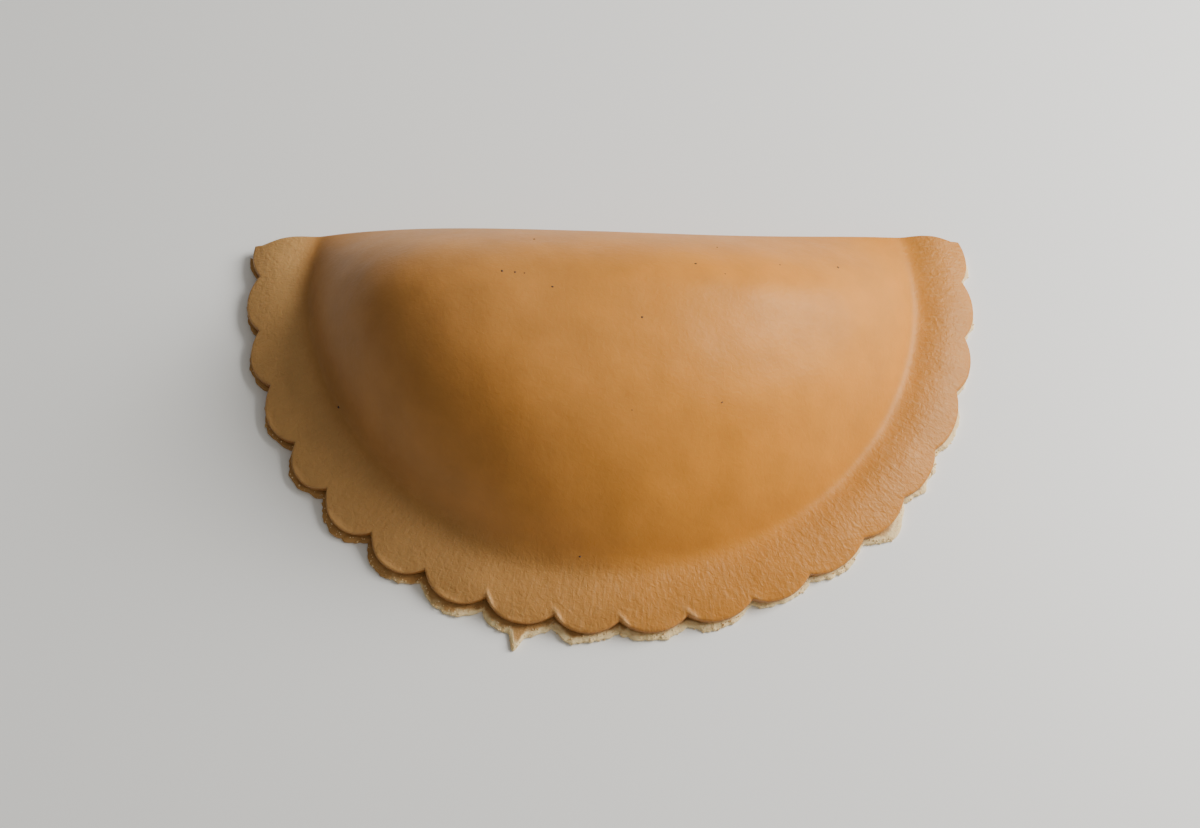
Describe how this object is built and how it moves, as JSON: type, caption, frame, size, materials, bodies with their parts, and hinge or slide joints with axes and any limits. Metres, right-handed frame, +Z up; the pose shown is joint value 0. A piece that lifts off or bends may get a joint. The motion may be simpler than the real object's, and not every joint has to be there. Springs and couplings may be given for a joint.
{
  "type": "empanada",
  "caption": "Half-moon filled turnover of smooth corn dough: a plump dome, a rounded fold along the back, and a pressed flange with a fluted cut edge over a thin torn lower layer.",
  "frame": {"origin": "under the middle of the whole part, on the surface that it lies on", "axes": "+X runs along the fold, toward the plumper end of the filling; +Y is square to the fold, from the fluted rim to the fold; +Z is up"},
  "size_m": [0.1336, 0.0788, 0.0296],
  "materials": {
    "corn_dough": "smooth, slightly moist golden corn dough with a soft sheen",
    "pale_dough": "dry, pale, torn dough"
  },
  "bodies": {
    "root": {"empanada": "corn_dough", "lower_dough": "pale_dough"}
  },
  "joints": []
}
